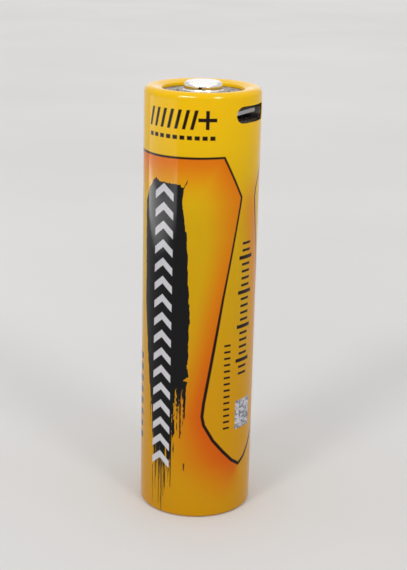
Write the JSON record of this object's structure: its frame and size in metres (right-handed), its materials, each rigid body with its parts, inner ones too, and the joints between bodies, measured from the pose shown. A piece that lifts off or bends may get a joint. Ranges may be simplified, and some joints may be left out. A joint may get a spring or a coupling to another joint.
{
  "type": "cylindrical battery cell",
  "caption": "Cylindrical rechargeable cell in a printed shrink sleeve, with a raised positive button and a charging socket in its side below the rim.",
  "frame": {"origin": "centre of the sleeve's lower rim, at the negative end", "axes": "+Z along the cell's axis towards the positive button; the charging socket opens along +X"},
  "size_m": [0.0186, 0.0186, 0.0711],
  "materials": {
    "printed_sleeve": "gloss",
    "nickel_plate": "polished",
    "board_laminate": "satin",
    "housing_plastic": "matte",
    "socket_steel": "satin",
    "moulding_plastic": "satin",
    "gold_plate": "polished",
    "amber_film": "gloss",
    "chip_resin": "matte",
    "tin_plate": "satin",
    "capacitor_ceramic": "satin",
    "resistor_ceramic": "satin",
    "clear_resin": "gloss",
    "nickel_strip": "satin",
    "insulating_paper": "matte",
    "can_steel": "satin",
    "fuse_polymer": "matte",
    "aluminium_sheet": "satin",
    "insulator_plastic": "satin",
    "gasket_plastic": "satin",
    "anode_coating": "matte",
    "cathode_coating": "matte",
    "separator_film": "satin",
    "winding_film": "gloss"
  },
  "bodies": {
    "root": {"shrink_sleeve": "printed_sleeve", "positive_button": "nickel_plate", "circuit_board": "board_laminate", "module_housing": "housing_plastic", "socket_shell": "socket_steel", "socket_tongue": "moulding_plastic", "socket_mid_plate": "socket_steel", "socket_contacts": "gold_plate", "socket_tape": "amber_film", "charge_chip": "chip_resin", "protection_chip": "chip_resin", "power_switch_chip": "chip_resin", "chip_leads": "tin_plate", "capacitors": "capacitor_ceramic", "resistors": "resistor_ceramic", "indicator_leds": "clear_resin", "positive_strip": "nickel_strip", "negative_strip": "nickel_strip", "insulating_washer": "insulating_paper", "cell_cap": "can_steel", "fuse_ring": "fuse_polymer", "rupture_disc": "aluminium_sheet", "cutoff_insulator": "insulator_plastic", "cutoff_plate": "aluminium_sheet", "cap_gasket": "gasket_plastic", "cathode_tab": "aluminium_sheet", "upper_insulator": "insulator_plastic", "anode_sheet": "anode_coating", "cathode_sheet": "cathode_coating", "inner_separator": "separator_film", "outer_separator": "separator_film", "winding_tape": "winding_film", "anode_tab": "nickel_strip", "lower_insulator": "insulator_plastic", "cell_can": "can_steel"}
  },
  "joints": []
}
